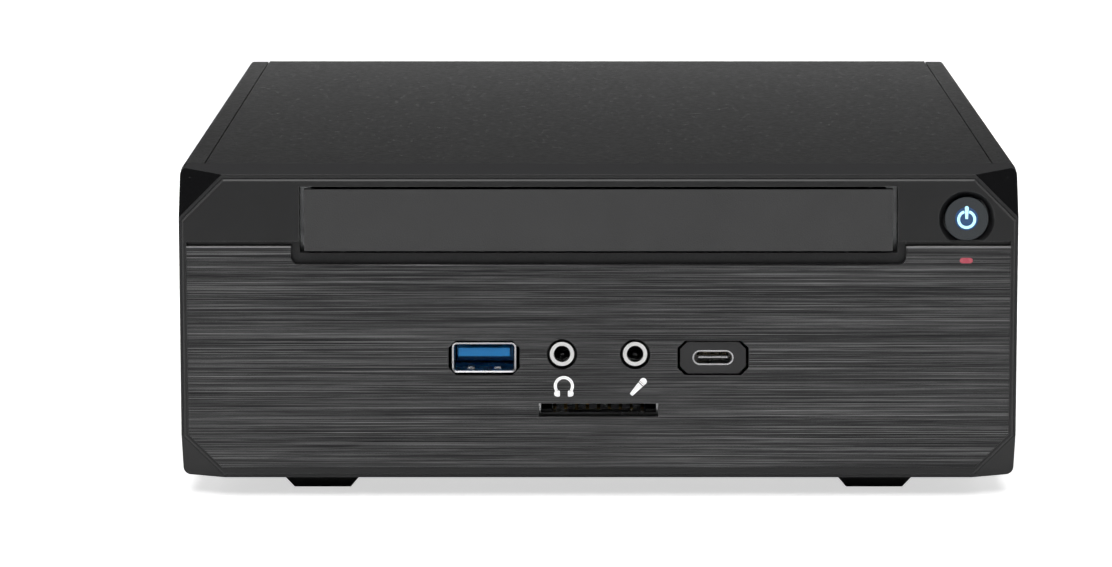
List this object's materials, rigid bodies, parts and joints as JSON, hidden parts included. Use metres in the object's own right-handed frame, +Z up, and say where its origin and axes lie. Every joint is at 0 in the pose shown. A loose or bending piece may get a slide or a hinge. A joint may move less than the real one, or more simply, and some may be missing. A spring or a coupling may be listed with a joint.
{
  "type": "compact desktop computer",
  "caption": "Low, wide desktop computer case with a faceted front, brushed faceplate, drive bay, front connectors, sliding top cover and a full set of working parts inside.",
  "frame": {"origin": "under the middle of the object's box, on the surface it stands on", "axes": "+Z up, front faces -Y, +X to the right as seen from the front"},
  "size_m": [0.182, 0.228, 0.0724],
  "materials": {
    "bezel_plastic": "fine satin black",
    "trim_plastic": "smooth dark",
    "brushed_face": "brushed, black anodised",
    "bay_plastic": "textured dark grey",
    "button_plastic": "gloss",
    "lens_blue": "translucent, lit from behind",
    "lens_red": "translucent",
    "black_coat": "fine textured black powder coat",
    "zinc_steel": "zinc plated",
    "screw_steel": "nickel plated",
    "black_screw": "blackened, knurled",
    "shell_steel": "tin plated",
    "usb_blue": "moulded blue",
    "connector_black": "moulded black",
    "port_grey": "moulded grey",
    "board_green": "solder mask",
    "board_black": "solder mask",
    "heatsink_metal": "extruded",
    "can_metal": "smooth",
    "choke_grey": "pressed ferrite",
    "chip_metal": "nickel plated",
    "gold": "plated",
    "fan_plastic": "moulded black",
    "drive_case": "satin anodised",
    "foot_rubber": "moulded",
    "lead_red_black": "insulated",
    "jack_metal": "nickel plated"
  },
  "bodies": {
    "chassis": {"front_bezel": "bezel_plastic", "trim_plate": "trim_plastic", "brushed_faceplate": "brushed_face", "drive_bay_cover": "bay_plastic", "power_switch": "connector_black", "switch_board": "board_green", "status_leds": "lens_red", "activity_light_pipe": "lens_red", "usb_a_shell": "shell_steel", "usb_a_insert": "usb_blue", "headset_jack_rings": "jack_metal", "headset_jack_bodies": "connector_black", "usb_c_surround": "port_grey", "usb_c_shell": "shell_steel", "usb_c_tongue": "connector_black", "card_reader": "shell_steel", "front_io_board": "board_green", "front_wall": "zinc_steel", "base_pan": "zinc_steel", "rear_panel": "zinc_steel", "side_panel_left": "black_coat", "side_panel_right": "black_coat", "case_screws": "screw_steel", "chassis_rivets": "zinc_steel", "rubber_feet": "foot_rubber", "motherboard": "board_black", "board_standoffs": "gold", "cpu_socket": "connector_black", "processor": "chip_metal", "cpu_heatsink": "heatsink_metal", "cooler_posts": "screw_steel", "cpu_fan_frame": "fan_plastic", "memory_slots": "connector_black", "memory_modules": "board_green", "chipset_heatsink": "heatsink_metal", "regulator_heatsink": "heatsink_metal", "capacitors": "can_metal", "inductors": "choke_grey", "sata_sockets": "connector_black", "pin_headers": "connector_black", "rear_usb_shells": "shell_steel", "rear_usb_inserts": "usb_blue", "display_ports": "shell_steel", "network_jack": "shell_steel", "rear_audio_jacks": "connector_black", "io_shield": "zinc_steel", "dc_inlet": "connector_black", "dc_inlet_pin": "jack_metal", "board_power_socket": "connector_black", "power_converter": "board_green", "drive_cage": "zinc_steel", "solid_state_drive": "drive_case", "power_leads": "lead_red_black", "signal_leads": "lead_red_black"},
    "button": {"power_button": "button_plastic", "power_symbol_lens": "lens_blue"},
    "fan": {"cpu_fan_rotor": "fan_plastic"},
    "cover": {"top_cover": "black_coat"},
    "left_thumbscrew": {"thumbscrew_left": "black_screw"},
    "right_thumbscrew": {"thumbscrew_right": "black_screw"}
  },
  "joints": [
    {"name": "power_button_press", "type": "slide", "parent": "chassis", "child": "button", "axis": [0, 1, 0], "range_m": [0, 0.0012], "stiffness_N_per_m": 1200},
    {"name": "fan_spin", "type": "hinge", "parent": "chassis", "child": "fan", "pos_m": [0, 0.044, 0.045], "axis": [0, 0, 1], "continuous": true},
    {"name": "cover_slide", "type": "slide", "parent": "chassis", "child": "cover", "axis": [0, 1, 0], "range_m": [0, 0.2]},
    {"name": "left_thumbscrew_turn", "type": "hinge", "parent": "cover", "child": "left_thumbscrew", "pos_m": [-0.055, 0.1064, 0.063], "axis": [0, 1, 0], "continuous": true},
    {"name": "right_thumbscrew_turn", "type": "hinge", "parent": "cover", "child": "right_thumbscrew", "pos_m": [0.055, 0.1064, 0.063], "axis": [0, 1, 0], "continuous": true}
  ]
}
